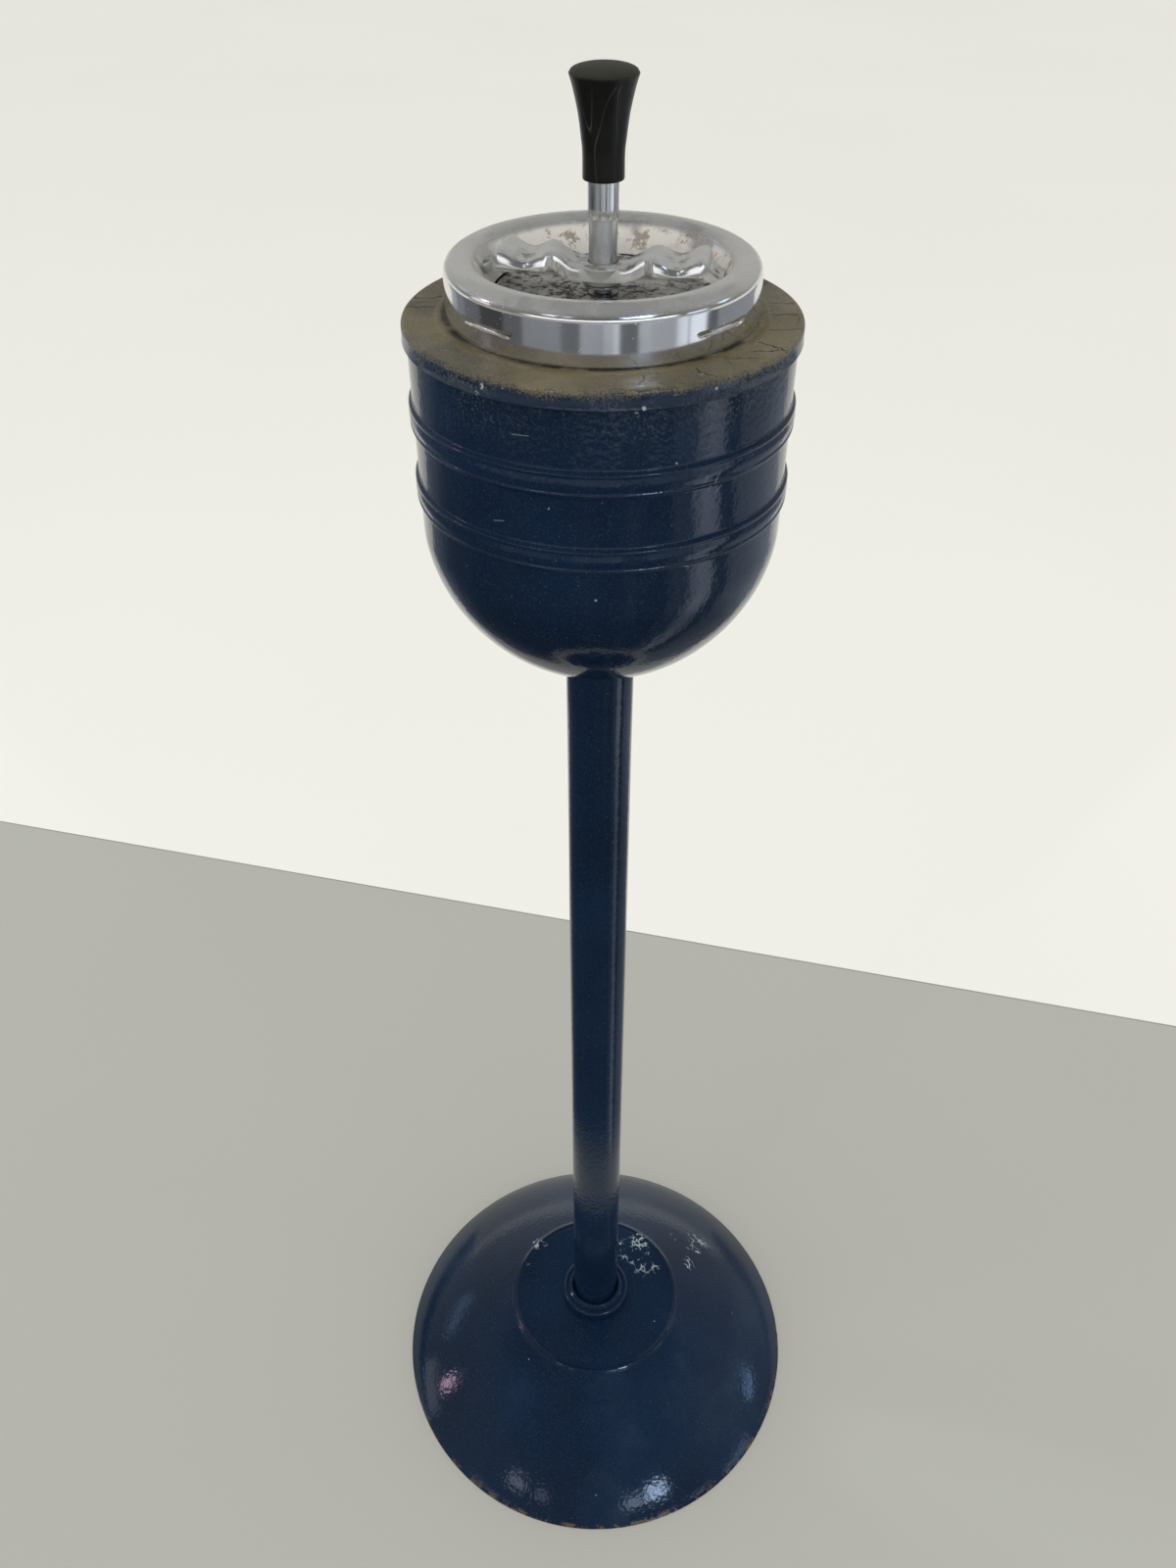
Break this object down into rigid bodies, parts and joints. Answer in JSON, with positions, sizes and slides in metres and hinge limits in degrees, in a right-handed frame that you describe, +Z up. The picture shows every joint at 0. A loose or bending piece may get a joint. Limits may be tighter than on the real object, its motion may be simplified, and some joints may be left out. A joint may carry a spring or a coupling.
{
  "type": "standing push-and-spin ashtray",
  "caption": "Free-standing ashtray: weighted dished foot, slim tube stem, round-bottomed cup with a bronze lid and a lift-off chrome tray whose disc drops and spins when the knob is pressed.",
  "frame": {"origin": "on the floor, below the middle of the foot, on the axis of the stem", "axes": "+Z up along the stem; -Y is the front, the side that the rest bridge's right end turns towards; +X is to the right seen from the front"},
  "size_m": [0.253, 0.253, 0.7804],
  "materials": {
    "blue_paint": "navy gloss enamel on steel, lightly orange-peeled, worn pale on the foot",
    "bronze_lacquer": "olive-bronze lacquer with fine cracks, blue overspray at its edge",
    "chrome": "bright chrome plate with a dull dusty film on top",
    "dull_chrome": "dulled plated steel",
    "tarred_steel": "plated steel with brown tar and rust spots",
    "black_plastic": "satin black moulded plastic",
    "cast_iron": "raw casting",
    "zinc_steel": "zinc-plated steel",
    "brass": "turned brass",
    "beech": "turned beech",
    "felt": "pressed felt"
  },
  "bodies": {
    "stand": {"foot_shell": "blue_paint", "foot_collar": "blue_paint", "stem_tube": "blue_paint", "cup_shell": "blue_paint", "cup_lid": "bronze_lacquer", "foot_weight": "cast_iron", "foot_pad": "felt", "stem_plug_lower": "beech", "stem_plug_upper": "beech", "tie_rod": "zinc_steel", "lower_washer": "zinc_steel", "lower_nut": "zinc_steel", "upper_washer": "zinc_steel", "upper_nut": "zinc_steel"},
    "tray_unit": {"tray_ring": "chrome", "rest_bridge": "chrome", "guide_tube": "dull_chrome", "drive_nut": "brass", "return_spring": "zinc_steel"},
    "plunger": {"push_knob": "black_plastic", "push_sleeve": "chrome", "knob_insert": "brass", "thrust_washer": "zinc_steel"},
    "spindle": {"twist_spindle": "zinc_steel", "ratchet_driver": "zinc_steel", "spindle_nut": "zinc_steel"},
    "disc": {"tray_disc": "tarred_steel", "disc_hub": "dull_chrome"}
  },
  "joints": [
    {"name": "tray_lift", "type": "slide", "parent": "stand", "child": "tray_unit", "axis": [0, 0, 1], "range_m": [0, 0.08]},
    {"name": "knob_press", "type": "slide", "parent": "tray_unit", "child": "plunger", "axis": [0, 0, -1], "range_m": [0, 0.0135], "stiffness_N_per_m": 300, "springref_m": -0.02, "deforming": ["return_spring"]},
    {"name": "spindle_twist", "type": "hinge", "parent": "plunger", "child": "spindle", "pos_m": [0, 0, 0.75], "axis": [0, 0, -1], "range_deg": [0, 172]},
    {"name": "disc_coast", "type": "hinge", "parent": "spindle", "child": "disc", "pos_m": [0, 0, 0.71], "axis": [0, 0, -1], "continuous": true}
  ],
  "couplings": [
    {"joint": "spindle_twist", "follows": "knob_press", "rad_per_m": 209.44}
  ]
}
